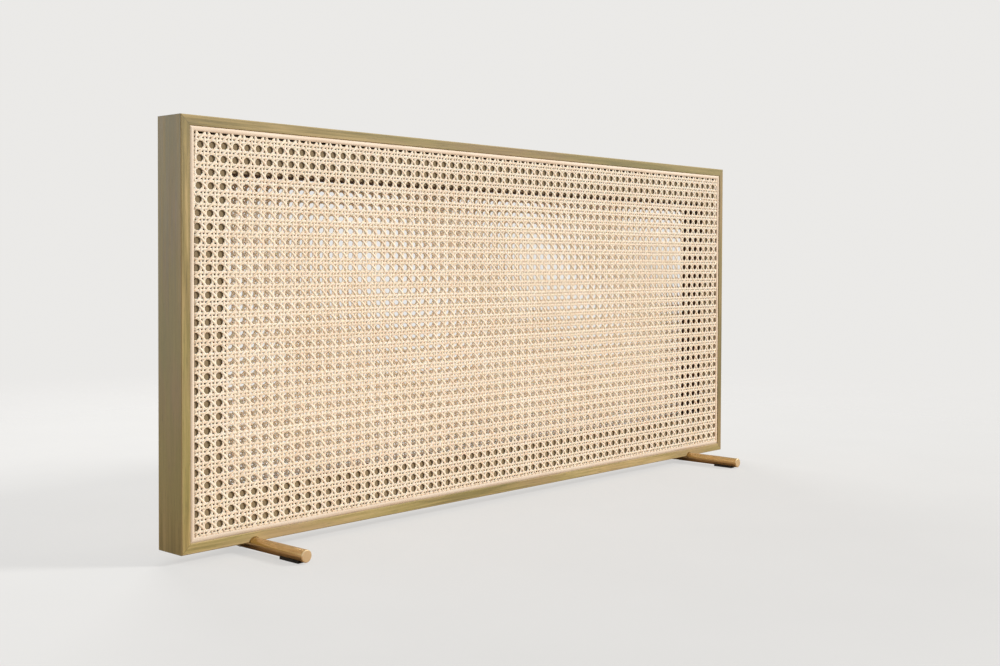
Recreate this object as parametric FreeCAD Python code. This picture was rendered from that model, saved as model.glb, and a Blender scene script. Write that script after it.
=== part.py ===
"""Free-standing desk screen: a mitred wooden frame with cane webbing on both faces, on two brass rods.

Millimetres, +Z up. X runs along the width, the front faces -Y, and the origin is on the resting
plane under the middle of the screen. Every piece is written to parts/ as one STEP file.
"""

import FreeCAD
import Part
import math
import os

from FreeCAD import Vector

# Frame
frame_width = 900.0
frame_height = 400.0
frame_depth = 38.0
member_width = 51.0
outer_arris = 0.8

# Lip, spline groove and the land that the webbing lies on, the same on both faces
lip_width = 9.6
lip_arris = 0.5
land_drop = 2.5
groove_width = 6.5
groove_depth = 8.0

# Cane webbing: the modelled gap stands for a block of real gaps, so the mesh stays light
cane_thickness = 1.8
cane_pitch = 13.0
cane_gap = 6.8
pitches_per_gap = 3
tuck_depth = 6.0
mesh_border = 2.0

# Reed spline
spline_set_back = 0.2
spline_crown = 0.9
spline_floor_gap = 0.8

# Loose tenons across the mitres
tenon_thickness = 8.0
tenon_width = 20.0
tenon_length = 30.0
tenon_clearance = 0.1

# Foot rods
rod_diameter = 12.0
rod_length = 194.0
rod_from_end = 81.0
rod_sink = 4.5
rod_chamfer = 0.8
notch_clearance = 0.1
notch_chamfer = 0.8

# Countersunk screws, one up through the middle of each rod
screw_diameter = 4.5
screw_head_diameter = 8.4
screw_head_height = 2.4
screw_length = 32.0
screw_tip = 5.0
screw_recess = 0.8
screw_clearance = 0.15

# Anti-slip pads under the rod ends
pad_thickness = 1.5
pad_width = 8.0
pad_length = 27.0
pad_inset = 8.0
pad_clearance = 0.05

# Derived places
rod_radius = rod_diameter / 2
rod_axis_height = pad_thickness + rod_radius
frame_bottom = pad_thickness + rod_diameter - rod_sink
frame_top = frame_bottom + frame_height
frame_middle = frame_bottom + frame_height / 2
front_face = -frame_depth / 2
land_face = front_face + land_drop
groove_floor = land_face + groove_depth
groove_end = lip_width + groove_width
spline_width = groove_width - cane_thickness
web_inset = lip_width + spline_width
web_width = frame_width - 2 * web_inset
web_height = frame_height - 2 * web_inset
rod_offset = frame_width / 2 - rod_from_end
pad_offset = rod_length / 2 - pad_inset - pad_length / 2
screw_base = pad_thickness + screw_recess

across = Vector(1, 0, 0)
backward = Vector(0, 1, 0)
upward = Vector(0, 0, 1)
origin = Vector(0, 0, 0)
hole_maker = "Part::FaceMakerBullseye"

# Each side of the frame: its length, the turn about Y from the bottom side, and its outer edge's middle
sides = {
    "bottom": (frame_width, 0, Vector(0, 0, frame_bottom)),
    "top": (frame_width, 180, Vector(0, 0, frame_top)),
    "left": (frame_height, 90, Vector(-frame_width / 2, 0, frame_middle)),
    "right": (frame_height, -90, Vector(frame_width / 2, 0, frame_middle)),
}


def eased_face(corners):
    """Return a face in the YZ plane from (y, z, arris) corners; each arris is a small flat bevel."""
    points = [Vector(0, y, z) for y, z, _ in corners]
    outline = []
    for index, (_, _, arris) in enumerate(corners):
        here = points[index]
        if arris > 0:
            after = points[(index + 1) % len(points)]
            outline.append(here + (points[index - 1] - here).normalize() * arris)
            outline.append(here + (after - here).normalize() * arris)
        else:
            outline.append(here)
    return Part.Face(Part.makePolygon(outline + outline[:1]))


def mitred_bar(section, length, inner_edge):
    """Return a YZ section run along X, centred, with both ends mitred back from z = 0."""
    bar = section.extrude(across * length)
    bar.translate(across * (-length / 2))
    trim_depth = 2 * frame_depth
    trim = Part.makePolygon([
        Vector(-length / 2, -trim_depth / 2, 0),
        Vector(length / 2, -trim_depth / 2, 0),
        Vector(length / 2 - inner_edge, -trim_depth / 2, inner_edge),
        Vector(-length / 2 + inner_edge, -trim_depth / 2, inner_edge),
        Vector(-length / 2, -trim_depth / 2, 0),
    ])
    return bar.common(Part.Face(trim).extrude(backward * trim_depth))


def on_side(bar, side):
    """Return a bar made for the bottom of the frame, turned and moved to another side."""
    _, turn, place = sides[side]
    moved = bar.copy()
    moved.rotate(origin, backward, turn)
    moved.translate(place)
    return moved


def member_section():
    """Return the rail and stile section: lips, spline grooves and lands on both faces."""
    front_half = [
        (front_face, 0, outer_arris),
        (front_face, lip_width, lip_arris),
        (groove_floor, lip_width, 0),
        (groove_floor, groove_end, 0),
        (land_face, groove_end, 0),
        (land_face, member_width, 0),
    ]
    back_half = [(-y, z, arris) for y, z, arris in reversed(front_half)]
    return eased_face(front_half + back_half)


def spline_section():
    """Return the front spline's section: flat sides in the groove and a crowned top."""
    crest = front_face + spline_set_back
    shoulder = crest + spline_crown
    floor = groove_floor - spline_floor_gap
    outer = lip_width
    inner = lip_width + spline_width
    crown = Part.Arc(
        Vector(0, shoulder, outer), Vector(0, crest, (outer + inner) / 2), Vector(0, shoulder, inner)
    ).toShape()
    body = Part.makePolygon([
        Vector(0, shoulder, inner),
        Vector(0, floor, inner),
        Vector(0, floor, outer),
        Vector(0, shoulder, outer),
    ])
    return Part.Face(Part.Wire([crown] + body.Edges))


def octagon(centre, across_flats):
    """Return an octagonal wire in the XZ plane, with flats level and upright."""
    half = across_flats / 2
    corner = half / math.cos(math.pi / 8)
    angles = [math.pi / 8 + step * math.pi / 4 for step in range(8)]
    points = [centre + Vector(corner * math.cos(a), 0, corner * math.sin(a)) for a in angles]
    return Part.makePolygon(points + points[:1])


def rectangle(width, height):
    """Return a rectangular wire in the XZ plane, centred on the frame's opening."""
    low = frame_middle - height / 2
    corners = [
        Vector(-width / 2, 0, low),
        Vector(width / 2, 0, low),
        Vector(width / 2, 0, low + height),
        Vector(-width / 2, 0, low + height),
    ]
    return Part.makePolygon(corners + corners[:1])


def front_webbing():
    """Return the holed cane sheet on the front lands, its edge turned down into the groove."""
    mesh_pitch = pitches_per_gap * cane_pitch
    mesh_gap = pitches_per_gap * cane_gap
    columns = int((web_width - 2 * mesh_border) // mesh_pitch)
    rows = int((web_height - 2 * mesh_border) // mesh_pitch)
    gaps = []
    for column in range(columns):
        x = (column - (columns - 1) / 2) * mesh_pitch
        for row in range(rows):
            z = frame_middle + (row - (rows - 1) / 2) * mesh_pitch
            gaps.append(octagon(Vector(x, 0, z), mesh_gap))
    edge = rectangle(web_width, web_height)
    sheet = Part.makeFace([edge] + gaps, hole_maker).extrude(backward * cane_thickness)
    sheet.translate(backward * (land_face - cane_thickness))
    inside = rectangle(web_width - 2 * cane_thickness, web_height - 2 * cane_thickness)
    tuck = Part.makeFace([edge, inside], hole_maker).extrude(backward * tuck_depth)
    tuck.translate(backward * land_face)
    return sheet.fuse(tuck).removeSplitter().Solids[0]


def tenon(clearance):
    """Return a loose tenon square across the lower left mitre, grown by a clearance."""
    length = tenon_length + 2 * clearance
    thickness = tenon_thickness + 2 * clearance
    width = tenon_width + 2 * clearance
    block = Part.makeBox(length, thickness, width, Vector(-length / 2, -thickness / 2, -width / 2))
    block.rotate(origin, backward, 45)
    block.translate(Vector((member_width - frame_width) / 2, 0, frame_bottom + member_width / 2))
    return block


def at_corners(lower_left):
    """Return a lower left piece at all four corners, by name."""
    lower_right = lower_left.mirror(origin, across)
    middle = Vector(0, 0, frame_middle)
    return {
        "bottom_left": lower_left,
        "bottom_right": lower_right,
        "top_left": lower_left.mirror(middle, upward),
        "top_right": lower_right.mirror(middle, upward),
    }


def foot_rod():
    """Return a chamfered rod along Y on the centre plane, before its screw holes."""
    rod = Part.makeCylinder(rod_radius, rod_length, Vector(0, -rod_length / 2, 0), backward)
    ends = [edge for edge in rod.Edges if isinstance(edge.Curve, Part.Circle)]
    rod = rod.makeChamfer(rod_chamfer, ends)
    rod.translate(upward * rod_axis_height)
    return rod


def rod_notch():
    """Return the half-round cut for a rod, with a chamfered mouth on both faces."""
    radius = rod_radius + notch_clearance
    cut = Part.makeCylinder(radius, frame_depth, Vector(0, front_face, rod_axis_height), backward)
    for face, inward in ((front_face, backward), (-front_face, -backward)):
        mouth = Vector(0, face, rod_axis_height)
        cut = cut.fuse(Part.makeCone(radius + notch_chamfer, radius, notch_chamfer, mouth, inward))
    return cut


def screw(clearance, run_out):
    """Return a countersunk screw pointing up, grown by a clearance, with a run-out under its head."""
    head = screw_head_diameter / 2 + clearance
    shank = screw_diameter / 2 + clearance
    profile = Part.makePolygon([
        origin,
        Vector(head, 0, 0),
        Vector(shank, 0, screw_head_height),
        Vector(shank, 0, screw_length - screw_tip),
        Vector(0, 0, screw_length + clearance),
        origin,
    ])
    body = Part.Face(profile).revolve(origin, upward, 360)
    if run_out > 0:
        body = body.fuse(Part.makeCylinder(head, run_out, -upward * run_out))
    return body


def placed(shape, place):
    """Return a copy of a shape moved by a vector."""
    copy = shape.copy()
    copy.translate(place)
    return copy


def foot_pad():
    """Return a pad along Y, flat below and hollowed above to seat on the rod."""
    seat = rod_radius + pad_clearance
    half = pad_width / 2
    shoulder = rod_axis_height - math.sqrt(seat ** 2 - half ** 2)
    hollow = Part.Arc(
        Vector(half, 0, shoulder), Vector(0, 0, rod_axis_height - seat), Vector(-half, 0, shoulder)
    ).toShape()
    base = Part.makePolygon([
        Vector(-half, 0, shoulder),
        Vector(-half, 0, 0),
        Vector(half, 0, 0),
        Vector(half, 0, shoulder),
    ])
    pad = Part.Face(Part.Wire([hollow] + base.Edges)).extrude(backward * pad_length)
    pad.translate(backward * (-pad_length / 2))
    return pad


def build():
    """Return every piece of the screen by node name."""
    nodes = {}
    screw_places = [Vector(side * rod_offset, 0, screw_base) for side in (-1, 1)]
    screw_holes = [placed(screw(screw_clearance, rod_diameter), place) for place in screw_places]

    # Frame members, with mortises for the tenons
    mortises = list(at_corners(tenon(tenon_clearance)).values())
    section = member_section()
    for side, name in (("top", "top_rail"), ("bottom", "bottom_rail"),
                       ("left", "left_stile"), ("right", "right_stile")):
        member = on_side(mitred_bar(section, sides[side][0], member_width), side)
        nodes[name] = member.cut(mortises)
    notches = [placed(rod_notch(), across * (side * rod_offset)) for side in (-1, 1)]
    nodes["bottom_rail"] = nodes["bottom_rail"].cut(notches + screw_holes)
    for corner, block in at_corners(tenon(0)).items():
        nodes[corner + "_tenon"] = block

    # Webbing and splines, the back ones a mirror of the front ones
    nodes["front_webbing"] = front_webbing()
    nodes["back_webbing"] = nodes["front_webbing"].mirror(origin, backward)
    for side, (length, _, _) in sides.items():
        spline = on_side(mitred_bar(spline_section(), length, web_inset), side)
        nodes["front_" + side + "_spline"] = spline
        nodes["back_" + side + "_spline"] = spline.mirror(origin, backward)

    # Rods, screws and pads
    for name, side in (("left", -1), ("right", 1)):
        rod = placed(foot_rod(), across * (side * rod_offset))
        nodes[name + "_foot_rod"] = rod.cut(screw_holes)
        for end, way in (("front", -1), ("rear", 1)):
            nodes[name + "_" + end + "_pad"] = placed(
                foot_pad(), Vector(side * rod_offset, way * pad_offset, 0)
            )
    nodes["foot_screws"] = Part.makeCompound([placed(screw(0, 0), place) for place in screw_places])
    return nodes


os.makedirs("parts", exist_ok=True)
for node, shape in build().items():
    print(node, len(shape.Solids), round(shape.Volume, 1), shape.isValid())
    shape.exportStep("parts/" + node + ".step")
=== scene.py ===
"""Looks of a free-standing cane desk screen: stained wooden frame, woven cane on both faces, brass foot rods.

Everything is in metres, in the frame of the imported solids: X along the width, the front faces -Y, Z up.
"""

import logging
import math
from collections.abc import Mapping, Sequence
from dataclasses import dataclass, field
from enum import Enum
from typing import Any

import bmesh
import bpy
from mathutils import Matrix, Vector


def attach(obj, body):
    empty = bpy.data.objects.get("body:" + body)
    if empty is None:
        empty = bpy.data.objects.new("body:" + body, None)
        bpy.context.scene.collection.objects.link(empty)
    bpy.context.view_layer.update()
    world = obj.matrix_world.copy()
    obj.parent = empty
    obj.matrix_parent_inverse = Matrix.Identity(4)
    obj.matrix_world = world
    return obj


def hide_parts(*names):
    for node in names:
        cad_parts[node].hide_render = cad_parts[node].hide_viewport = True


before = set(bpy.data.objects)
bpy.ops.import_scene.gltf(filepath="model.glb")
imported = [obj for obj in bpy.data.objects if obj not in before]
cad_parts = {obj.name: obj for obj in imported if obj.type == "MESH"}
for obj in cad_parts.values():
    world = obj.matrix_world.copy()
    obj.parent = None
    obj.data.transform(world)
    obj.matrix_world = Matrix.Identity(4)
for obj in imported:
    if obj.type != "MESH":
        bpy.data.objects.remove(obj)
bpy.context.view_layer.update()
LOG = logging.getLogger("desk_screen")
MM = 0.001
BODY = "root"
Colour = tuple[float, float, float]
Point = tuple[float, float, float]
Span = tuple[float, float]


def scaled(colour: Colour, share: float) -> Colour:
    """Return a colour made darker or lighter by a share."""
    return tuple(share * part for part in colour)


class Way(Enum):
    """Direction that a grain or fibre runs in, as the turn from the X axis."""

    LEVEL = (0.0, 0.0, 0.0)
    UPRIGHT = (0.0, -math.pi / 2, 0.0)
    FALLING = (0.0, math.pi / 4, 0.0)
    RISING = (0.0, -math.pi / 4, 0.0)
    OUTWARD = (0.0, 0.0, math.pi / 2)


class Face(Enum):
    """Face of the screen, as the sign of the Y direction that it looks in."""

    FRONT = -1.0
    BACK = 1.0


class NodeGraph:
    """Short calls for adding and joining the nodes of one tree."""

    def __init__(self, tree: bpy.types.NodeTree) -> None:
        """Keep the tree that nodes are added to."""
        self.tree = tree

    def node(self, kind: str, feeds: Mapping[str | int, Any] | None = None,
             **settings: Any) -> bpy.types.Node:
        """Add a node.

        Args:
            kind: Blender's name of the node type.
            feeds: A socket to join, or a value to set, for each input by name or index.
            settings: Properties of the node itself.

        Returns:
            The new node.
        """
        made = self.tree.nodes.new(kind)
        for name, value in settings.items():
            setattr(made, name, value)
        for key, value in (feeds or {}).items():
            self.feed(made.inputs[key], value)
        return made

    def feed(self, socket: bpy.types.NodeSocket, value: Any) -> None:
        """Join a socket to an input, or set the input's own value."""
        if isinstance(value, bpy.types.NodeSocket):
            self.tree.links.new(value, socket)
        else:
            socket.default_value = value

    def math(self, operation: str, *values: Any) -> bpy.types.NodeSocket:
        """Return the result of a Math node fed with sockets or numbers."""
        return self.node("ShaderNodeMath", dict(enumerate(values)), operation=operation).outputs[0]

    def total(self, *values: Any) -> bpy.types.NodeSocket:
        """Return the sum of two or more sockets or numbers."""
        result = values[0]
        for value in values[1:]:
            result = self.math("ADD", result, value)
        return result

    def times(self, *values: Any) -> bpy.types.NodeSocket:
        """Return the product of two or more sockets or numbers."""
        result = values[0]
        for value in values[1:]:
            result = self.math("MULTIPLY", result, value)
        return result

    def limit(self, value: Any, low: Any, high: Any) -> bpy.types.NodeSocket:
        """Return a value held between two others."""
        return self.math("MINIMUM", self.math("MAXIMUM", value, low), high)

    def either(self, test: Any, if_so: Any, if_not: Any) -> bpy.types.NodeSocket:
        """Return one of two numbers by a test of 1 or 0."""
        return self.total(self.times(test, if_so), self.times(self.math("SUBTRACT", 1.0, test), if_not))

    def parts(self, vector: bpy.types.NodeSocket) -> tuple[bpy.types.NodeSocket, ...]:
        """Return the X, Y and Z sockets of a vector."""
        return tuple(self.node("ShaderNodeSeparateXYZ", {0: vector}).outputs)

    def vector(self, x: Any, y: Any, z: Any) -> bpy.types.NodeSocket:
        """Return a vector of three sockets or numbers."""
        return self.node("ShaderNodeCombineXYZ", {0: x, 1: y, 2: z}).outputs[0]

    def noise(self, place: Any, scale: float, detail: float = 2.0, roughness: float = 0.5,
              distortion: float = 0.0) -> bpy.types.NodeSocket:
        """Return the value of a noise pattern.

        Args:
            place: Vector that the pattern reads.
            scale: Patches in each unit of that vector.
            detail: Number of finer layers.
            roughness: Weight of the finer layers.
            distortion: How far the pattern is pulled about.

        Returns:
            A socket with values around one half.
        """
        return self.node("ShaderNodeTexNoise", {
            "Vector": place, "Scale": scale, "Detail": detail,
            "Roughness": roughness, "Distortion": distortion,
        }).outputs[0]


class Surface(NodeGraph):
    """The node graph of one material, with a Principled shader."""

    def __init__(self, name: str) -> None:
        """Start a material with an empty graph, a shader and an output."""
        self.material = bpy.data.materials.new(name)
        self.material.use_nodes = True
        super().__init__(self.material.node_tree)
        self.tree.nodes.clear()
        self.shader = self.node("ShaderNodeBsdfPrincipled")
        self.exit = self.node("ShaderNodeOutputMaterial", {0: self.shader.outputs[0]})

    def grain(self, way: Way, stretch: float, shift: Point = (0.0, 0.0, 0.0)) -> bpy.types.NodeSocket:
        """Return Object coordinates turned to a direction and stretched along it.

        Args:
            way: Direction that the pattern runs in.
            stretch: How many times longer the pattern is along that direction.
            shift: Offset of the pattern in metres.

        Returns:
            A vector socket whose X runs along the direction.
        """
        place = self.node("ShaderNodeTexCoord").outputs["Object"]
        return self.node("ShaderNodeMapping", {
            "Vector": place, "Location": shift, "Rotation": way.value, "Scale": (stretch, 1.0, 1.0),
        }, vector_type="TEXTURE").outputs[0]

    def ramp(self, value: bpy.types.NodeSocket,
             stops: Sequence[tuple[float, Colour]]) -> bpy.types.NodeSocket:
        """Return the colour at a value, between colours at given places from 0 to 1."""
        made = self.node("ShaderNodeValToRGB", {0: value})
        scale = made.color_ramp.elements
        while len(scale) < len(stops):
            scale.new(0.5)
        for mark, (place, colour) in zip(scale, stops):
            mark.position = place
            mark.color = (*colour, 1.0)
        return made.outputs[0]

    def mix(self, share: Any, first: Any, second: Any) -> bpy.types.NodeSocket:
        """Return two colours mixed by a share of the second."""
        made = self.node("ShaderNodeMix", data_type="RGBA", blend_type="MIX", clamp_factor=True)
        for index, value in ((0, share), (6, first), (7, second)):
            plain = index > 0 and not isinstance(value, bpy.types.NodeSocket)
            self.feed(made.inputs[index], (*value, 1.0) if plain else value)
        return made.outputs[2]

    def spread(self, value: bpy.types.NodeSocket, old: Span, new: Span) -> bpy.types.NodeSocket:
        """Return a value carried from an old range to a new one and held inside it."""
        return self.node("ShaderNodeMapRange", {
            0: value, 1: old[0], 2: old[1], 3: new[0], 4: new[1],
        }).outputs[0]

    def relief(self, height: bpy.types.NodeSocket, strength: float, depth: float) -> None:
        """Bump the shader by a height socket of a given depth in metres."""
        bump = self.node("ShaderNodeBump", {"Strength": strength, "Distance": depth, "Height": height})
        self.feed(self.shader.inputs["Normal"], bump.outputs[0])

    def finish(self, colour: bpy.types.NodeSocket, roughness: bpy.types.NodeSocket,
               **plain: float) -> bpy.types.Material:
        """Join colour and roughness to the shader, set its plain values and return the material."""
        self.feed(self.shader.inputs["Base Color"], colour)
        self.feed(self.shader.inputs["Roughness"], roughness)
        for name, value in plain.items():
            self.shader.inputs[name.replace("_", " ").title().replace("Ior", "IOR")].default_value = value
        return self.material


@dataclass(frozen=True)
class StainedWood:
    """Satin stained hardwood with streaky grain and fine pores.

    Each share says how strongly a pattern or colour shows where it is at its fullest.
    """

    name: str
    way: Way
    deep: Colour = (0.165, 0.124, 0.037)
    middle: Colour = (0.305, 0.226, 0.074)
    pale: Colour = (0.480, 0.350, 0.148)
    green: Colour = (0.262, 0.232, 0.068)
    rosy: Colour = (0.345, 0.228, 0.112)
    # Paler colour of the arrises: a painted highlight along the edges.
    wear_and_highlight: Colour = (0.520, 0.390, 0.185)
    # Colour of the recessed lands: unstained wood, also darkened as painted shade under the webbing.
    bare: Colour = (0.250, 0.186, 0.112)
    # Nearly black colour of the inner walls: painted shade inside the closed cavity.
    inside: Colour = (0.046, 0.012, 0.001)
    # Multiplies the stain colours; on the rails it paints light and shade.
    tint: Colour = (1.0, 1.0, 1.0)
    shift: Point = (0.0, 0.0, 0.0)
    half_depth: float = 19.0 * MM
    half_width: float = 0.450
    half_height: float = 0.200
    mid_height: float = 0.209
    lip_width: float = 9.6 * MM
    member_width: float = 51.0 * MM
    band_share: float = 0.44
    streak_share: float = 0.44
    patch_share: float = 0.12
    side_share: float = 0.45
    green_share: float = 0.45
    rosy_share: float = 0.60
    arris_highlight_share: float = 0.65
    bare_and_shade_share: float = 0.85
    cavity_shade_share: float = 0.90
    pore_share: float = 0.45
    joint_share: float = 0.6
    pore_lightness: float = 0.55
    joint_lightness: float = 0.35
    bare_roughness: float = 0.44

    def make(self) -> bpy.types.Material:
        """Return the wood as a material."""
        s = Surface(self.name)
        bands = s.noise(s.grain(self.way, 14.0, self.shift), 60.0, detail=4.0, roughness=0.55, distortion=0.6)
        streaks = s.noise(s.grain(self.way, 40.0, self.shift), 420.0, detail=5.0, roughness=0.65)
        pores = s.noise(s.grain(self.way, 22.0, self.shift), 1500.0)
        patches = s.noise(s.grain(self.way, 3.0, self.shift), 14.0)
        clouds = s.noise(s.grain(self.way, 5.0, self.shift), 38.0, detail=3.0)
        tone = s.total(
            s.times(bands, self.band_share),
            s.times(streaks, self.streak_share),
            s.times(patches, self.patch_share),
        )
        stops = ((0.41, self.deep), (0.50, self.middle), (0.60, self.pale))
        colour = s.ramp(tone, [(place, self._shade(part)) for place, part in stops])
        joint, side, edge, land, wall = self._places(s)
        colour = s.mix(s.times(side, self.side_share), colour, self._shade(self.middle))
        greenish = s.spread(patches, (0.42, 0.62), (0.0, self.green_share))
        colour = s.mix(greenish, colour, self._shade(self.green))
        blush = s.spread(clouds, (0.50, 0.68), (0.0, self.rosy_share))
        colour = s.mix(blush, colour, self._shade(self.rosy))
        # Painted highlight: the arrises are made paler.
        colour = s.mix(s.times(edge, self.arris_highlight_share), colour, self.wear_and_highlight)
        # The lands get the unstained colour, darkened as painted shade under the webbing.
        colour = s.mix(s.times(land, self.bare_and_shade_share), colour, self.bare)
        # Painted shade: the inner walls of the cavity are made nearly black.
        colour = s.mix(s.times(wall, self.cavity_shade_share), colour, self.inside)
        pore = s.spread(pores, (0.60, 0.72), (0.0, 1.0))
        colour = s.mix(s.times(pore, self.pore_share), colour, scaled(self.deep, self.pore_lightness))
        colour = s.mix(s.times(joint, self.joint_share), colour, scaled(self.deep, self.joint_lightness))
        roughness = s.total(
            s.spread(streaks, (0.3, 0.7), (0.40, 0.56)), s.times(land, self.bare_roughness)
        )
        s.relief(s.total(s.times(streaks, 0.5), s.times(pore, -0.6)), strength=0.35, depth=0.12 * MM)
        return s.finish(colour, roughness, specular_ior_level=0.5)

    def _shade(self, colour: Colour) -> Colour:
        """Return a colour times this board's tint, which paints light and shade on the rails."""
        return tuple(share * part for share, part in zip(self.tint, colour))

    def _places(self, s: Surface) -> tuple[bpy.types.NodeSocket, ...]:
        """Return 1 on the mitre hairlines, outer sides, arrises with a painted highlight, lands with a bare
        colour and painted shade, and inner walls painted with shade.
        """
        x, y, z = s.parts(s.node("ShaderNodeTexCoord").outputs["Object"])
        from_middle = s.math("ABSOLUTE", s.math("SUBTRACT", z, self.mid_height))
        from_end = s.math("SUBTRACT", self.half_width, s.math("ABSOLUTE", x))
        from_edge = s.math("SUBTRACT", self.half_height, from_middle)
        off_line = s.math("ABSOLUTE", s.math("SUBTRACT", from_end, from_edge))
        joint = s.spread(off_line, (0.15 * MM, 0.40 * MM), (1.0, 0.0))
        inward = s.math("MINIMUM", from_end, from_edge)
        from_face = s.math("SUBTRACT", self.half_depth, s.math("ABSOLUTE", y))
        side = s.spread(inward, (0.3 * MM, 1.2 * MM), (1.0, 0.0))
        # The arris band, where the painted highlight goes.
        edge = s.spread(s.math("MAXIMUM", from_face, inward), (0.5 * MM, 1.5 * MM), (1.0, 0.0))
        land_start = (self.lip_width + 0.2 * MM, self.lip_width + 1.0 * MM)
        land = s.spread(inward, land_start, (0.0, 1.0))
        wall_start = (self.member_width - 1.0 * MM, self.member_width - 0.2 * MM)
        wall = s.spread(inward, wall_start, (0.0, 1.0))
        return joint, side, edge, land, wall


@dataclass(frozen=True)
class CaneSkin:
    """Split cane: smooth pale skin with fine fibres, each strand of its own tone."""

    name: str
    way: Way
    deep: Colour = (0.82, 0.665, 0.500)
    middle: Colour = (0.89, 0.755, 0.590)
    pale: Colour = (0.92, 0.800, 0.650)
    # Paler colour of the strands' inner side: partly the real pith, partly painted light that brightens the
    # strands inside the cavity.
    pith_and_painted_light: Colour = (0.94, 0.840, 0.700)
    stain: Colour = (0.42, 0.26, 0.13)
    skin_depth: Span = (17.2 * MM, 17.9 * MM)
    glow_reach: Colour = (1.0, 0.8, 0.6)

    def make(self) -> bpy.types.Material:
        """Return the cane as a material."""
        s = Surface(self.name)
        strand = s.node("ShaderNodeAttribute", attribute_name="tone").outputs["Fac"]
        fibres = s.noise(s.grain(self.way, 60.0), 3200.0, detail=3.0, roughness=0.6)
        lengths = s.noise(s.grain(self.way, 8.0), 260.0, detail=3.0, roughness=0.55)
        stains = s.noise(s.grain(self.way, 3.0), 900.0)
        tone = s.total(s.times(strand, 0.40), s.times(lengths, 0.34), s.times(fibres, 0.26))
        colour = s.ramp(tone, ((0.28, self.deep), (0.50, self.middle), (0.70, self.pale)))
        # Inner side of each strand made paler: partly the pith, partly painted light for the cavity.
        _, depth, _ = s.parts(s.node("ShaderNodeTexCoord").outputs["Object"])
        underside_and_painted_light = s.spread(s.math("ABSOLUTE", depth), self.skin_depth, (0.6, 0.0))
        colour = s.mix(underside_and_painted_light, colour, self.pith_and_painted_light)
        speck = s.spread(stains, (0.70, 0.78), (0.0, 0.5))
        colour = s.mix(speck, colour, self.stain)
        roughness = s.spread(lengths, (0.3, 0.7), (0.48, 0.64))
        s.relief(fibres, strength=0.30, depth=0.06 * MM)
        s.shader.inputs["Subsurface Radius"].default_value = self.glow_reach
        return s.finish(colour, roughness, specular_ior_level=0.20, subsurface_weight=0.35,
                        subsurface_scale=0.8 * MM)


@dataclass(frozen=True)
class SplineReed:
    """Round reed, sanded: matte, pinkish pale, with long fibres and darker flecks."""

    name: str
    way: Way
    # Scale on every colour: painted light and shade for the side that the reed lies on.
    painted_lightness: float = 1.0
    deep: Colour = (0.71, 0.545, 0.395)
    middle: Colour = (0.83, 0.685, 0.535)
    pale: Colour = (0.89, 0.765, 0.625)

    def make(self) -> bpy.types.Material:
        """Return the reed as a material."""
        s = Surface(self.name)
        fibres = s.noise(s.grain(self.way, 45.0), 1300.0, detail=4.0, roughness=0.6)
        lengths = s.noise(s.grain(self.way, 6.0), 90.0, detail=3.0, roughness=0.55)
        tone = s.total(s.times(fibres, 0.55), s.times(lengths, 0.45))
        stops = ((0.34, self.deep), (0.50, self.middle), (0.66, self.pale))
        colour = s.ramp(tone, [(place, scaled(stop, self.painted_lightness)) for place, stop in stops])
        roughness = s.spread(lengths, (0.3, 0.7), (0.55, 0.70))
        s.relief(fibres, strength=0.45, depth=0.12 * MM)
        return s.finish(colour, roughness, specular_ior_level=0.30)


@dataclass(frozen=True)
class SatinBrass:
    """Brushed brass bar, slightly dulled, with fine lines along the bar and rougher cut ends painted paler as
    a highlight.
    """

    name: str
    bright: Colour = (0.66, 0.49, 0.265)
    dull: Colour = (0.53, 0.37, 0.175)
    # Paler colour of the cut ends: a painted highlight.
    cut: Colour = (0.74, 0.58, 0.36)
    half_length: float = 97.0 * MM

    def make(self) -> bpy.types.Material:
        """Return the brass as a material."""
        s = Surface(self.name)
        lines = s.noise(s.grain(Way.OUTWARD, 50.0), 2600.0, detail=3.0, roughness=0.6)
        tarnish = s.noise(s.grain(Way.OUTWARD, 1.6), 70.0, detail=3.0, distortion=0.4)
        colour = s.mix(s.spread(tarnish, (0.25, 0.80), (0.0, 1.0)), self.bright, self.dull)
        _, along, _ = s.parts(s.node("ShaderNodeTexCoord").outputs["Object"])
        end_start = (self.half_length - 0.9 * MM, self.half_length - 0.3 * MM)
        end = s.spread(s.math("ABSOLUTE", along), end_start, (0.0, 1.0))
        # Painted highlight: the cut ends are made paler.
        colour = s.mix(end, colour, self.cut)
        tone = s.total(s.times(lines, 0.6), s.times(tarnish, 0.4))
        roughness = s.total(s.spread(tone, (0.3, 0.7), (0.17, 0.29)), s.times(end, 0.20))
        s.relief(lines, strength=0.10, depth=0.01 * MM)
        return s.finish(colour, roughness, metallic=1.0)


@dataclass(frozen=True)
class PadRubber:
    """Dark matte rubber with a fine moulded grain."""

    name: str
    dark: Colour = (0.016, 0.013, 0.011)
    wear_and_highlight: Colour = (0.045, 0.038, 0.032)

    def make(self) -> bpy.types.Material:
        """Return the rubber as a material."""
        s = Surface(self.name)
        speckle = s.noise(s.grain(Way.LEVEL, 1.0), 1800.0, detail=3.0, roughness=0.6)
        dust = s.noise(s.grain(Way.LEVEL, 1.0), 160.0, detail=4.0, roughness=0.6)
        colour = s.mix(s.spread(dust, (0.4, 0.75), (0.0, 1.0)), self.dark, self.wear_and_highlight)
        roughness = s.spread(speckle, (0.3, 0.7), (0.68, 0.85))
        s.relief(speckle, strength=0.4, depth=0.08 * MM)
        return s.finish(colour, roughness, specular_ior_level=0.35)


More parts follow.
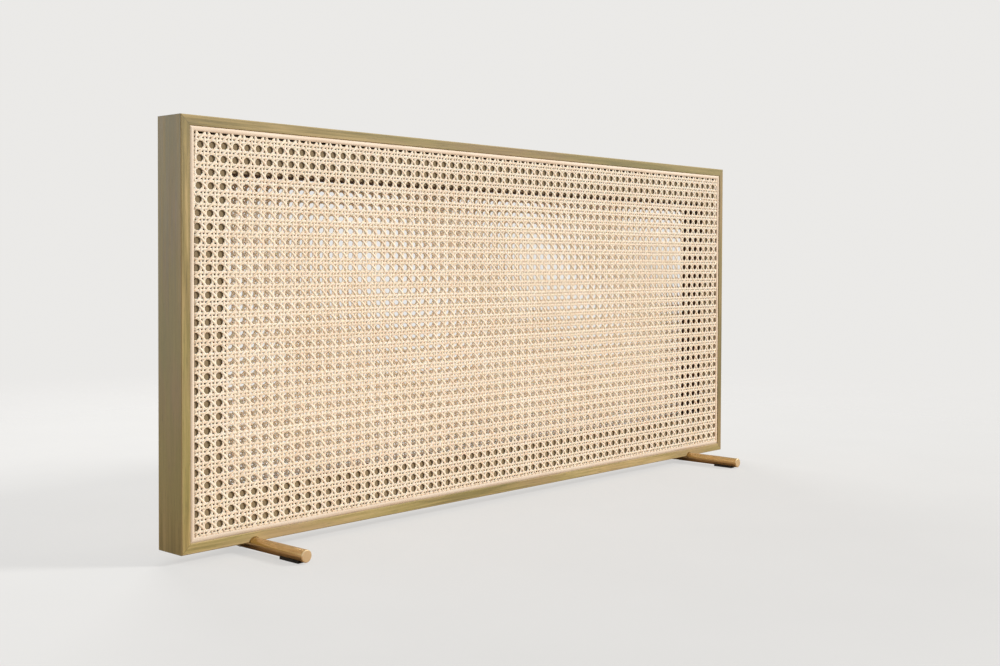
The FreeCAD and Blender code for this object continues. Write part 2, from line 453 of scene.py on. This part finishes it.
@dataclass(frozen=True)
class ZincSteel:
    """Zinc-plated steel with a faint mottle."""

    name: str
    light: Colour = (0.62, 0.62, 0.60)
    dark: Colour = (0.46, 0.46, 0.45)

    def make(self) -> bpy.types.Material:
        """Return the steel as a material."""
        s = Surface(self.name)
        mottle = s.noise(s.grain(Way.LEVEL, 1.0), 900.0, detail=4.0, roughness=0.6)
        colour = s.mix(s.spread(mottle, (0.35, 0.65), (0.0, 1.0)), self.light, self.dark)
        roughness = s.spread(mottle, (0.3, 0.7), (0.28, 0.42))
        s.relief(mottle, strength=0.2, depth=0.04 * MM)
        return s.finish(colour, roughness, metallic=1.0)


def wear(node: str, material: bpy.types.Material) -> None:
    """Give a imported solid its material.

    Args:
        node: Name of the solid.
        material: Finish for all its faces.
    """
    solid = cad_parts[node]
    solid.data.materials.clear()
    solid.data.materials.append(material)
    LOG.info("dressed %s in %s", node, material.name)


def settle(piece: bpy.types.Object, slot: str, *nodes: str) -> None:
    """Let a finished piece ride with the screen.

    Args:
        piece: The piece, in place.
        slot: Material slot of the record. Not used.
        nodes: Solids that the piece stands for.
    """
    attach(piece, BODY)
    if nodes:
        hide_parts(*nodes)
    LOG.info("built %s with %d faces", piece.name, len(piece.data.polygons))


@dataclass
class WoodFrame:
    """The four mitred members and their hidden tenons."""

    corners: tuple[str, ...] = ("bottom_left", "bottom_right", "top_left", "top_right")

    def dress(self) -> None:
        """Give each member its own cut of wood, the rails with painted light and shade, and the tenons plain
        wood.
        """
        # Node, direction of the grain, tint and place in the grain pattern. The rail tints are painted light
        # and shade: the top rail darker, the bottom rail lighter and greyer as if lit from below. The right
        # stile's tint is a little darker.
        boards = (
            ("top_rail", Way.LEVEL, (0.89, 0.89, 0.85), (-0.28, 0.17, 0.23)),
            ("bottom_rail", Way.LEVEL, (1.18, 1.19, 1.34), (0.05, 0.17, 0.63)),
            ("left_stile", Way.UPRIGHT, (1.0, 1.0, 1.0), (0.47, 0.09, 0.11)),
            ("right_stile", Way.UPRIGHT, (0.93, 0.91, 0.95), (0.87, 0.09, 0.11)),
        )
        for node, way, tint, shift in boards:
            wear(node, StainedWood(f"{node}_wood", way, tint=tint, shift=shift).make())
        sanded = (0.55, 0.40, 0.24)
        tenon_wood = StainedWood(
            "tenon_wood", Way.LEVEL, deep=(0.42, 0.28, 0.15), middle=sanded, pale=(0.66, 0.51, 0.33),
            green=sanded, rosy=sanded, bare=sanded, inside=sanded,
        ).make()
        for corner in self.corners:
            wear(f"{corner}_tenon", tenon_wood)


@dataclass(frozen=True)
class StrandRun:
    """One set of parallel strands, measured in pitches of the weave.

    The waves put each strand over or under the strands that it crosses.
    """

    name: str
    way: Way
    across_axis: tuple[float, float]
    along_axis: tuple[float, float]
    strands: int
    across_start: float
    reach: int
    points_per_pitch: int
    point_phase: float
    wave_height: float
    wave_gain: float
    wave_turn: float
    width: float


@dataclass(frozen=True)
class SheetPlace:
    """Where one sheet of webbing lies, and how its strands stray from the straight."""

    face: Face
    node: str
    pitch: tuple[float, float]
    origin: tuple[float, float]
    drift: float
    bow: float
    seed: int


class StrandTree:
    """Geometry Nodes tree that lays one set of parallel strands and tucks their ends into the groove."""

    SIZES = (
        ("Strand Count", "NodeSocketInt"), ("Points Each", "NodeSocketInt"),
        ("Across Start", "NodeSocketFloat"), ("Along Start", "NodeSocketFloat"),
        ("Along Step", "NodeSocketFloat"), ("Across Axis", "NodeSocketVector"),
        ("Along Axis", "NodeSocketVector"), ("Weave Origin", "NodeSocketVector"),
        ("Half Width", "NodeSocketFloat"), ("Half Height", "NodeSocketFloat"),
        ("Sheet Middle", "NodeSocketFloat"), ("Sheet Plane", "NodeSocketFloat"),
        ("Facing", "NodeSocketFloat"), ("Wave Height", "NodeSocketFloat"),
        ("Wave Gain", "NodeSocketFloat"), ("Wave Turn", "NodeSocketFloat"),
        ("Drift", "NodeSocketFloat"), ("Bow", "NodeSocketFloat"), ("Wander", "NodeSocketFloat"),
        ("Unevenness", "NodeSocketFloat"), ("Tuck Run", "NodeSocketFloat"),
        ("Tuck Depth", "NodeSocketFloat"), ("Strand Width", "NodeSocketFloat"),
        ("Strand Thickness", "NodeSocketFloat"), ("Seed", "NodeSocketInt"),
        ("Material", "NodeSocketMaterial"),
    )
    # Pace of the waver along a strand, and its jump from one strand to the next
    WAVER_PACE = 0.3
    WAVER_JUMP = 7.31
    # Added to a rate of change, so that nothing is divided by zero
    TINY = 1e-7
    # Shortest strand that is kept, in pitches
    SHORTEST = 0.3
    # How fast the wander sets in from a strand's end
    WANDER_RISE = 0.6
    # Patches of the wander in each metre
    WANDER_SCALE = 11.0
    # Sides of a strand's section
    SECTION_SIDES = 8

    def __init__(self) -> None:
        """Make the tree, its named inputs and all its nodes."""
        self.tree = bpy.data.node_groups.new("cane_strands", "GeometryNodeTree")
        sockets = self.tree.interface
        self.keys: dict[str, str] = {}
        for name, kind in self.SIZES:
            self.keys[name] = sockets.new_socket(name, in_out="INPUT", socket_type=kind).identifier
        sockets.new_socket("Strands", in_out="OUTPUT", socket_type="NodeSocketGeometry")
        self.graph = NodeGraph(self.tree)
        self.given = self.graph.node("NodeGroupInput").outputs
        strand, along, base, limits = self._flat_lines()
        place, unwanted = self._woven_places(along, base, limits)
        self._mesh(strand, place, unwanted)

    def _drift(self, height: Any) -> bpy.types.NodeSocket:
        """Return how far the upright lines stray sideways at a height from the sheet's middle."""
        g = self.graph
        share = g.math("DIVIDE", height, self.given["Half Height"])
        return g.total(g.times(self.given["Drift"], share), g.times(self.given["Bow"], share, share))

    def _flat_lines(self) -> tuple[Any, Any, tuple[Any, Any], tuple[Any, Any]]:
        """Number the points by strand and find where each strand crosses the edges of the sheet.

        Returns:
            The strand's number, the place along it in pitches, its base point, and its limits in pitches.
        """
        g, given = self.graph, self.given
        index = g.node("GeometryNodeInputIndex").outputs[0]
        strand = g.math("FLOOR", g.math("DIVIDE", g.total(index, 0.5), given["Points Each"]))
        step = g.math("SUBTRACT", index, g.times(strand, given["Points Each"]))
        along = g.total(given["Along Start"], g.times(step, given["Along Step"]))
        pattern = g.vector(g.times(along, self.WAVER_PACE), g.times(strand, self.WAVER_JUMP), given["Seed"])
        waver = g.noise(pattern, 1.0, detail=1.0)
        stray = g.times(g.math("SUBTRACT", waver, 0.5), given["Unevenness"])
        across = g.total(given["Across Start"], strand, stray)
        across_x, _, across_z = g.parts(given["Across Axis"])
        along_x, _, along_z = g.parts(given["Along Axis"])
        origin_x, _, origin_z = g.parts(given["Weave Origin"])
        base = (g.total(origin_x, g.times(across, across_x)), g.total(origin_z, g.times(across, across_z)))
        rate_x, rate_z = g.total(along_x, self.TINY), g.total(along_z, self.TINY)
        half_width, half_height = given["Half Width"], given["Half Height"]
        ends = []
        for side in (-1.0, 1.0):
            to_side = g.math("SUBTRACT", g.times(half_width, side), base[0])
            height = g.total(base[1], g.times(along_z, g.math("DIVIDE", to_side, rate_x)))
            height = g.limit(height, g.times(half_height, -1.0), half_height)
            across_end = g.math("DIVIDE", g.math("SUBTRACT", to_side, self._drift(height)), rate_x)
            up_end = g.math("DIVIDE", g.math("SUBTRACT", g.times(half_height, side), base[1]), rate_z)
            ends.append((across_end, up_end))
        (left, low), (right, high) = ends
        start = g.math("MAXIMUM", g.math("MINIMUM", left, right), g.math("MINIMUM", low, high))
        stop = g.math("MINIMUM", g.math("MAXIMUM", left, right), g.math("MAXIMUM", low, high))
        return strand, along, base, (start, stop)

    def _woven_places(self, along: Any, base: tuple[Any, Any],
                      limits: tuple[Any, Any]) -> tuple[Any, Any]:
        """Bring the points past an edge back to it, then lift, bend and tuck the strands.

        Args:
            along: Place along the strand, in pitches.
            base: The strand's base point, in metres.
            limits: Where the strand starts and stops, in pitches.

        Returns:
            The points' places, and a test for points that are not needed.
        """
        g, given = self.graph, self.given
        start, stop = limits
        before, after = g.math("SUBTRACT", start, along), g.math("SUBTRACT", along, stop)
        past = g.math("MAXIMUM", before, after)
        step = given["Along Step"]
        at_start = g.math("GREATER_THAN", before, after)
        outside = g.math("GREATER_THAN", past, 0.0)
        tucked = g.math("GREATER_THAN", past, step)
        short = g.math("LESS_THAN", g.math("SUBTRACT", stop, start), self.SHORTEST)
        unwanted = g.math("MAXIMUM", g.math("GREATER_THAN", past, g.times(step, 2.0)), short)
        edge = g.either(at_start, start, stop)
        run = g.times(given["Tuck Run"], tucked, g.math("SUBTRACT", 1.0, g.times(at_start, 2.0)))
        place = g.either(outside, edge, along)
        inner = g.math("MINIMUM", g.math("SUBTRACT", place, start), g.math("SUBTRACT", stop, place))
        freedom = g.limit(g.times(inner, self.WANDER_RISE), 0.0, 1.0)

        turn = g.times(g.total(place, given["Wave Turn"]), 2 * math.pi)
        wave = g.limit(g.times(g.math("SINE", turn), given["Wave Gain"]), -1.0, 1.0)
        lift = g.times(wave, given["Wave Height"])
        deep = g.times(tucked, given["Tuck Depth"])

        along_x, _, along_z = g.parts(given["Along Axis"])
        reached = g.total(place, run)
        flat_x = g.total(base[0], g.times(reached, along_x))
        flat_z = g.total(base[1], g.times(reached, along_z))
        flat_x = g.total(flat_x, self._drift(flat_z))
        pull = g.node("ShaderNodeTexNoise", {
            "Vector": g.vector(flat_x, given["Seed"], flat_z), "Scale": self.WANDER_SCALE, "Detail": 1.0,
        }).outputs[1]
        pull_x, _, pull_z = g.parts(pull)
        wander = g.times(given["Wander"], freedom)
        x = g.total(flat_x, g.times(g.math("SUBTRACT", pull_x, 0.5), wander))
        z = g.total(flat_z, g.times(g.math("SUBTRACT", pull_z, 0.5), wander))
        y = g.math("SUBTRACT", g.total(given["Sheet Plane"], lift), deep)
        placed = g.vector(
            g.times(x, given["Facing"], -1.0), g.times(y, given["Facing"]), g.total(z, given["Sheet Middle"])
        )
        return placed, unwanted

    def _mesh(self, strand: Any, place: Any, unwanted: Any) -> None:
        """Turn the points into flat strands of cane with a tone each."""
        g, given = self.graph, self.given
        count = g.times(given["Strand Count"], given["Points Each"])
        points = g.node("GeometryNodePoints", {"Count": count, "Position": place}).outputs[0]
        chance = g.node("FunctionNodeRandomValue", {7: strand, 8: given["Seed"]},
                        data_type="FLOAT").outputs[1]
        toned = g.node("GeometryNodeStoreNamedAttribute", {
            "Geometry": points, "Name": "tone", "Value": chance,
        }, data_type="FLOAT", domain="POINT").outputs[0]
        numbered = g.node("GeometryNodeStoreNamedAttribute", {
            "Geometry": toned, "Name": "strand", "Value": strand,
        }, data_type="INT", domain="POINT").outputs[0]
        kept = g.node("GeometryNodeDeleteGeometry", {"Geometry": numbered, "Selection": unwanted},
                      domain="POINT").outputs[0]
        group = g.node("GeometryNodeInputNamedAttribute", {"Name": "strand"}, data_type="INT").outputs[0]
        lines = g.node("GeometryNodePointsToCurves", {"Points": kept, "Curve Group ID": group}).outputs[0]
        faced = g.node("GeometryNodeSetCurveNormal", mode="FREE")
        g.feed(faced.inputs["Curve"], lines)
        g.feed(faced.inputs["Normal"], (0.0, 1.0, 0.0))
        ring = g.node("GeometryNodeCurvePrimitiveCircle", {
            "Resolution": self.SECTION_SIDES, "Radius": 0.5,
        }).outputs[0]
        profile = g.node("GeometryNodeTransform", {
            "Geometry": ring, "Scale": g.vector(given["Strand Thickness"], given["Strand Width"], 1.0),
        }).outputs[0]
        swept = g.node("GeometryNodeCurveToMesh", {
            "Curve": faced.outputs[0], "Profile Curve": profile, "Fill Caps": True,
        }).outputs[0]
        smooth = g.node("GeometryNodeSetShadeSmooth", {"Geometry": swept}).outputs[0]
        whole = g.node("GeometryNodeRealizeInstances", {"Geometry": smooth}).outputs[0]
        dressed = g.node("GeometryNodeSetMaterial", {
            "Geometry": whole, "Material": given["Material"],
        }).outputs[0]
        g.node("NodeGroupOutput", {0: dressed})

    def grow(self, name: str, sizes: Mapping[str, Any]) -> bpy.types.Object:
        """Make one plain mesh from the tree.

        Args:
            name: Name of the piece.
            sizes: Value of each named input.

        Returns:
            The piece, with no modifier left on it.
        """
        piece = bpy.data.objects.new(name, bpy.data.meshes.new(name))
        bpy.context.scene.collection.objects.link(piece)
        modifier = piece.modifiers.new("strands", "NODES")
        modifier.node_group = self.tree
        for label, value in sizes.items():
            modifier[self.keys[label]] = value
        grown = piece.evaluated_get(bpy.context.evaluated_depsgraph_get())
        mesh = bpy.data.meshes.new_from_object(grown)
        piece.modifiers.remove(modifier)
        bare, piece.data = piece.data, mesh
        bpy.data.meshes.remove(bare)
        mesh.name = name
        return piece


@dataclass
class Webbing:
    """Woven cane on both faces: pairs of uprights, pairs of levels, and single diagonals both ways."""

    frame_width: float = 0.900
    frame_height: float = 0.400
    frame_bottom: float = 0.009
    edge_inset: float = 14.75 * MM
    sheet_plane: float = 17.62 * MM
    thickness: float = 0.80 * MM
    pair_lift: float = 0.18 * MM
    diagonal_lift: float = 0.36 * MM
    pair_half_gap: float = 0.148
    pair_width: float = 2.5 * MM
    diagonal_width: float = 2.5 * MM
    tuck_run: float = 0.2 * MM
    tuck_depth: float = 4.0 * MM
    wander: float = 0.7 * MM
    unevenness: float = 0.035
    skins: dict[Way, bpy.types.Material] = field(default_factory=dict)

    def runs(self) -> list[StrandRun]:
        """Return the six sets of strands of one sheet."""
        made = []
        for side, label in ((-1, "near"), (1, "far")):
            offset = side * self.pair_half_gap
            made.append(StrandRun(
                name=f"uprights_{label}", way=Way.UPRIGHT, across_axis=(1, 0), along_axis=(0, 1),
                strands=70, across_start=-34.5 + offset, reach=17, points_per_pitch=3, point_phase=0.0,
                wave_height=side * self.pair_lift, wave_gain=1.3, wave_turn=-0.5, width=self.pair_width,
            ))
            made.append(StrandRun(
                name=f"levels_{label}", way=Way.LEVEL, across_axis=(0, 1), along_axis=(1, 0),
                strands=32, across_start=-15.5 + offset, reach=36, points_per_pitch=3, point_phase=0.0,
                wave_height=-side * self.pair_lift, wave_gain=1.3, wave_turn=-0.5, width=self.pair_width,
            ))
        diagonals = (("falling", Way.FALLING, -1, -0.25), ("rising", Way.RISING, 1, 0.25))
        for label, way, slope, turn in diagonals:
            made.append(StrandRun(
                name=f"{label}_diagonals", way=way, across_axis=(0, 1), along_axis=(1, slope),
                strands=104, across_start=-51.5, reach=36, points_per_pitch=4, point_phase=0.125,
                wave_height=self.diagonal_lift, wave_gain=1.6, wave_turn=turn, width=self.diagonal_width,
            ))
        return made

    def sheets(self) -> list[SheetPlace]:
        """Return the two sheets, each with its own small faults."""
        return [
            SheetPlace(
                face=Face.FRONT, node="front_webbing", pitch=(13.13 * MM, 12.53 * MM),
                origin=(-0.9 * MM, -1.5 * MM), drift=3.0 * MM, bow=3.1 * MM, seed=3,
            ),
            SheetPlace(
                face=Face.BACK, node="back_webbing", pitch=(13.006 * MM, 12.52 * MM),
                origin=(-5.3 * MM, -1.4 * MM), drift=3.6 * MM, bow=-2.4 * MM, seed=11,
            ),
        ]

    def dress(self) -> None:
        """Make the skin of the strands of each direction."""
        for way in (Way.UPRIGHT, Way.LEVEL, Way.FALLING, Way.RISING):
            self.skins[way] = CaneSkin(f"cane_{way.name.lower()}", way).make()

    def build(self) -> None:
        """Weave both sheets, six pieces each."""
        tree = StrandTree()
        for sheet in self.sheets():
            for number, run in enumerate(self.runs()):
                piece = tree.grow(f"{sheet.face.name.lower()}_{run.name}", self._sizes(sheet, run, number))
                settle(piece, "cane", sheet.node)

    def _sizes(self, sheet: SheetPlace, run: StrandRun, number: int) -> dict[str, Any]:
        """Return the tree's inputs for one set of strands of one sheet."""
        pitch_x, pitch_z = sheet.pitch
        return {
            "Strand Count": run.strands,
            "Points Each": 2 * run.reach * run.points_per_pitch + 1,
            "Across Start": run.across_start,
            "Along Start": -run.reach + run.point_phase,
            "Along Step": 1.0 / run.points_per_pitch,
            "Across Axis": (run.across_axis[0] * pitch_x, 0.0, run.across_axis[1] * pitch_z),
            "Along Axis": (run.along_axis[0] * pitch_x, 0.0, run.along_axis[1] * pitch_z),
            "Weave Origin": (sheet.origin[0], 0.0, sheet.origin[1]),
            "Half Width": self.frame_width / 2 - self.edge_inset,
            "Half Height": self.frame_height / 2 - self.edge_inset,
            "Sheet Middle": self.frame_bottom + self.frame_height / 2,
            "Sheet Plane": self.sheet_plane,
            "Facing": sheet.face.value,
            "Wave Height": run.wave_height,
            "Wave Gain": run.wave_gain,
            "Wave Turn": run.wave_turn,
            "Drift": sheet.drift,
            "Bow": sheet.bow,
            "Wander": self.wander,
            "Unevenness": self.unevenness,
            "Tuck Run": self.tuck_run / pitch_x,
            "Tuck Depth": self.tuck_depth,
            "Strand Width": run.width,
            "Strand Thickness": self.thickness,
            "Seed": sheet.seed + number,
            "Material": self.skins[run.way],
        }


@dataclass
class SplineSet:
    """The reed splines that wedge the webbing into its groove, on both faces."""

    # Side, direction of the fibres, and lightness; the lightness is painted light and shade, lighter on the
    # right and top, darker on the left and bottom.
    sides: tuple[tuple[str, Way, float], ...] = (
        ("top", Way.LEVEL, 1.03), ("bottom", Way.LEVEL, 0.82),
        ("left", Way.UPRIGHT, 0.91), ("right", Way.UPRIGHT, 1.12),
    )

    def dress(self) -> None:
        """Give the splines of each side one reed, painted lighter or darker as light and shade, with fibres
        along its length.
        """
        for side, way, painted_lightness in self.sides:
            reed = SplineReed(f"reed_{side}", way, painted_lightness).make()
            for face in ("front", "back"):
                wear(f"{face}_{side}_spline", reed)


@dataclass
class Feet:
    """The brass rods across the bottom rail, their screws and their pads."""

    sides: tuple[str, ...] = ("left", "right")
    ends: tuple[str, ...] = ("front", "rear")

    def dress(self) -> None:
        """Give the rods brass, the pads rubber and the screws plated steel."""
        brass = SatinBrass("satin_brass").make()
        rubber = PadRubber("pad_rubber").make()
        steel = ZincSteel("zinc_steel").make()
        for side in self.sides:
            wear(f"{side}_foot_rod", brass)
            for end in self.ends:
                wear(f"{side}_{end}_pad", rubber)
        wear("foot_screws", steel)


@dataclass
class Studio:
    """Pale floor, soft light and the camera of the main view."""

    pale: Colour = (0.830, 0.820, 0.803)
    floor_colour: Colour = (0.18, 0.178, 0.1745)
    floor_glow: float = 3.2
    floor_radius: float = 2.1
    floor_mottle: float = 0.985
    fade_start: float = 0.55
    fade_margin: float = 0.2
    bounce_colour: Colour = (0.50, 0.38, 0.275)
    ambient: Colour = (0.39, 0.39, 0.395)
    camera_place: Point = (-1.10135, -0.99745, 0.27688)
    camera_turns: Point = (88.68, -0.209, -47.793)
    sensor_width: float = 36.0
    lens: float = 45.543
    lens_rise: float = -0.0423

    def build(self) -> None:
        """Set up the floor, the surroundings, the lamps and the camera."""
        self._floor()
        self._surroundings()
        self._sun("key_light", source=(2.2, -2.0, 1.65), softness=12.0, strength=3.42,
                  colour=(1.0, 0.985, 0.955))
        self._lamp("left_lamp", place=(-2.2, 2.6, 1.1), target=(-0.45, 0.0, 0.25), size=2.0, power=22.0,
                   colour=(0.76, 0.88, 1.0))
        self._lamp("back_lamp", place=(2.0, 3.6, 2.0), target=(0.0, 0.0, 0.2), size=2.4, power=135.0,
                   colour=(1.0, 0.99, 0.97))
        self._camera()

    def _floor(self) -> None:
        """Lay a round floor that fades out into the surroundings."""
        mesh = bpy.data.meshes.new("floor")
        shape = bmesh.new()
        bmesh.ops.create_circle(shape, cap_ends=True, segments=96, radius=self.floor_radius)
        shape.to_mesh(mesh)
        shape.free()
        floor = bpy.data.objects.new("floor", mesh)
        bpy.context.scene.collection.objects.link(floor)
        s = Surface("pale_floor")
        mottle = s.noise(s.grain(Way.LEVEL, 1.0), 6.0, detail=3.0)
        shown = s.mix(s.spread(mottle, (0.3, 0.7), (0.0, 1.0)), self.floor_colour,
                      scaled(self.floor_colour, self.floor_mottle))
        seen = s.node("ShaderNodeLightPath").outputs["Is Camera Ray"]
        s.feed(s.shader.inputs["Base Color"], s.mix(seen, self.bounce_colour, shown))
        s.feed(s.shader.inputs["Emission Color"], shown)
        s.feed(s.shader.inputs["Emission Strength"], s.times(seen, self.floor_glow))
        s.shader.inputs["Roughness"].default_value = 0.9
        s.shader.inputs["Specular IOR Level"].default_value = 0.1
        middle = s.node("ShaderNodeTexCoord").outputs["Object"]
        away = s.node("ShaderNodeVectorMath", {0: middle}, operation="LENGTH").outputs["Value"]
        fade_end = self.floor_radius - self.fade_margin
        fade = s.node("ShaderNodeMapRange", {0: away, 1: self.fade_start, 2: fade_end, 3: 0.0, 4: 1.0},
                      interpolation_type="SMOOTHSTEP").outputs[0]
        clear = s.node("ShaderNodeBsdfTransparent").outputs[0]
        both = s.node("ShaderNodeMixShader", {0: fade, 1: s.shader.outputs[0], 2: clear}).outputs[0]
        s.feed(s.exit.inputs[0], both)
        mesh.materials.append(s.material)

    def _surroundings(self) -> None:
        """Show a pale background, and light the screen evenly from all round."""
        world = bpy.data.worlds.new("studio")
        world.use_nodes = True
        g = NodeGraph(world.node_tree)
        g.tree.nodes.clear()
        path = g.node("ShaderNodeLightPath").outputs
        seen = g.math("MAXIMUM", path["Is Camera Ray"],
                      g.math("MAXIMUM", path["Is Glossy Ray"], path["Is Transmission Ray"]))
        shown = g.node("ShaderNodeBackground", {"Color": (*self.pale, 1.0), "Strength": 1.0}).outputs[0]
        light = g.node("ShaderNodeBackground", {"Color": (*self.ambient, 1.0), "Strength": 1.0}).outputs[0]
        mixed = g.node("ShaderNodeMixShader", {0: seen, 1: light, 2: shown}).outputs[0]
        g.node("ShaderNodeOutputWorld", {0: mixed})
        bpy.context.scene.world = world

    def _lamp(self, name: str, place: Point, target: Point, size: float, power: float,
              colour: Colour) -> None:
        """Hang one square soft lamp.

        Args:
            name: Name of the lamp.
            place: Where it hangs, in metres.
            target: The point it faces.
            size: Side of the square, in metres.
            power: Power in watts.
            colour: Tint of its light.
        """
        data = bpy.data.lights.new(name, "AREA")
        data.shape = "SQUARE"
        data.size = size
        data.energy = power
        data.color = colour
        lamp = bpy.data.objects.new(name, data)
        lamp.location = place
        lamp.rotation_euler = (Vector(target) - Vector(place)).to_track_quat("-Z", "Y").to_euler()
        bpy.context.scene.collection.objects.link(lamp)

    def _sun(self, name: str, source: Point, softness: float, strength: float, colour: Colour) -> None:
        """Shine one soft far light on the screen.

        Args:
            name: Name of the light.
            source: A point that the light comes from, seen from the screen's foot.
            softness: How wide the light looks from the screen, in degrees.
            strength: Power in watts on each square metre.
            colour: Tint of the light.
        """
        data = bpy.data.lights.new(name, "SUN")
        data.angle = math.radians(softness)
        data.energy = strength
        data.color = colour
        light = bpy.data.objects.new(name, data)
        light.location = source
        light.rotation_euler = (-Vector(source)).to_track_quat("-Z", "Y").to_euler()
        bpy.context.scene.collection.objects.link(light)

    def _camera(self) -> None:
        """Stand the camera low in front of the left end, level with the upper half of the screen."""
        data = bpy.data.cameras.new("camera")
        data.sensor_width = self.sensor_width
        data.lens = self.lens
        data.shift_y = self.lens_rise
        data.clip_start = 0.05
        data.clip_end = 50.0
        camera = bpy.data.objects.new("camera", data)
        camera.location = self.camera_place
        camera.rotation_euler = tuple(math.radians(turn) for turn in self.camera_turns)
        bpy.context.scene.collection.objects.link(camera)
        bpy.context.scene.camera = camera


def main() -> None:
    """Build and dress the screen, then set up the studio."""
    logging.basicConfig(level=logging.INFO, format="%(name)s: %(message)s")
    WoodFrame().dress()
    webbing = Webbing()
    webbing.dress()
    webbing.build()
    SplineSet().dress()
    Feet().dress()
    Studio().build()
    bpy.context.scene.view_settings.view_transform = "Standard"


if __name__ == "__main__":
    main()
